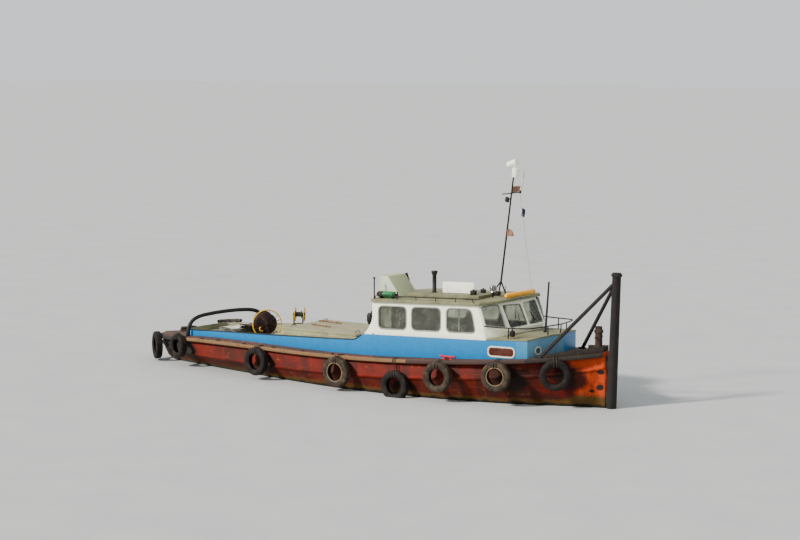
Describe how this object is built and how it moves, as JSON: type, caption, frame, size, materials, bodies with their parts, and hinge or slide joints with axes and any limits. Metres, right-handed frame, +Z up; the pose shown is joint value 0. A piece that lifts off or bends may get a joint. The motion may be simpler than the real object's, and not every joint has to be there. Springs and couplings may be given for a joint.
{
  "type": "harbour work launch",
  "caption": "Decked steel launch with a wheelhouse forward, a raked bow post with braces, an open well aft, reels and tyre fenders, afloat.",
  "frame": {"origin": "on the centreline at the waterline, amidships", "axes": "+X forward, +Y to port, +Z up"},
  "size_m": [15.4388, 4.231, 7.4693],
  "materials": {
    "topsideRed": "weathered red oxide paint with rust",
    "bottomRed": "dull antifouling",
    "sternDark": "worn dark paint",
    "railBrown": "scuffed brown paint",
    "rustDark": "rust brown, matt",
    "blue": "blue gloss, worn",
    "white": "white gloss",
    "beige": "matt deck paint",
    "cream": "matt deck paint, dirty",
    "black": "satin black",
    "rubber": "worn rubber",
    "yellow": "yellow gloss, chipped",
    "ochre": "orange paint, faded",
    "green": "green paint",
    "greyEngine": "grey engine paint",
    "bronze": "dull bronze",
    "wood": "varnished, worn",
    "board": "white, blank"
  },
  "bodies": {
    "hull": {"hull_topsides": "topsideRed", "hull_stern": "sternDark", "hull_bottom": "bottomRed", "rub_rail": "railBrown", "bow_bulwark": "rustDark", "bow_post": "rustDark", "bow_bitt": "rustDark", "stern_bitt": "sternDark", "trunk": "blue", "fore_cabin_top": "beige", "well_sole": "cream", "engine_casing": "cream", "engine": "greyEngine", "wheelhouse": "white", "wheelhouse_roof": "beige", "cabin_fitout": "wood", "tow_hoop": "black", "roof_hood": "beige", "gas_bottle": "green", "roof_locker": "beige", "exhaust_pipe": "black", "vent_pipe": "black", "name_board": "board", "roof_grab_rail": "black", "searchlight": "black", "mast": "black", "roof_float": "ochre", "foredeck_rail": "black", "bow_staff": "black", "aft_lamp": "black", "hose_reel_stand": "rustDark", "cable_reel_stand": "rustDark", "canvas_roll": "rubber", "tyre_stern_starboard": "rubber", "tyre_stern_port": "rubber", "tyre_quarter_starboard": "rubber", "tyre_quarter_port": "rubber", "tyre_aft_starboard": "rubber", "tyre_aft_port": "rubber", "tyre_waist_starboard": "rubber", "tyre_waist_port": "rubber", "tyre_low_starboard": "rubber", "tyre_low_port": "rubber", "tyre_shoulder_starboard": "rubber", "tyre_shoulder_port": "rubber", "tyre_fore_starboard": "rubber", "tyre_fore_port": "rubber", "tyre_bow_starboard": "rubber", "tyre_bow_port": "rubber"},
    "propeller": {"propeller": "bronze"},
    "rudder": {"rudder": "rustDark"},
    "helm_wheel": {"helm_wheel": "black"},
    "wheelhouse_door": {"wheelhouse_door": "white"},
    "engine_hatch": {"engine_hatch": "beige"},
    "hose_reel": {"hose_reel": "yellow"},
    "cable_reel": {"cable_reel": "yellow"}
  },
  "joints": [
    {"name": "propeller_spin", "type": "hinge", "parent": "hull", "child": "propeller", "pos_m": [-6.45, 0, -0.7], "axis": [1, 0, 0], "continuous": true},
    {"name": "rudder_turn", "type": "hinge", "parent": "hull", "child": "rudder", "pos_m": [-7.01, 0, -0.6], "axis": [0, 0, 1], "range_deg": [-35, 35]},
    {"name": "helm_turn", "type": "hinge", "parent": "hull", "child": "helm_wheel", "pos_m": [3.55, -0.48, 1.39], "axis": [1, 0, 0], "range_deg": [-540, 540]},
    {"name": "door_swing", "type": "hinge", "parent": "hull", "child": "wheelhouse_door", "pos_m": [0.81, 0.33, 1.8], "axis": [0, 0, -1], "range_deg": [0, 110]},
    {"name": "hatch_lift", "type": "hinge", "parent": "hull", "child": "engine_hatch", "pos_m": [-0.034, 0, 1.3584], "axis": [0, 1, 0], "range_deg": [0, 85]},
    {"name": "hose_reel_spin", "type": "hinge", "parent": "hull", "child": "hose_reel", "pos_m": [-3.27, -0.87, 1.405], "axis": [0.7507, -0.6606, 0], "continuous": true},
    {"name": "cable_reel_spin", "type": "hinge", "parent": "hull", "child": "cable_reel", "pos_m": [-3.44, 1, 1.472], "axis": [0.8486, 0.5291, 0], "continuous": true}
  ],
  "couplings": [
    {"joint": "helm_turn", "follows": "rudder_turn", "ratio": 15.429}
  ]
}
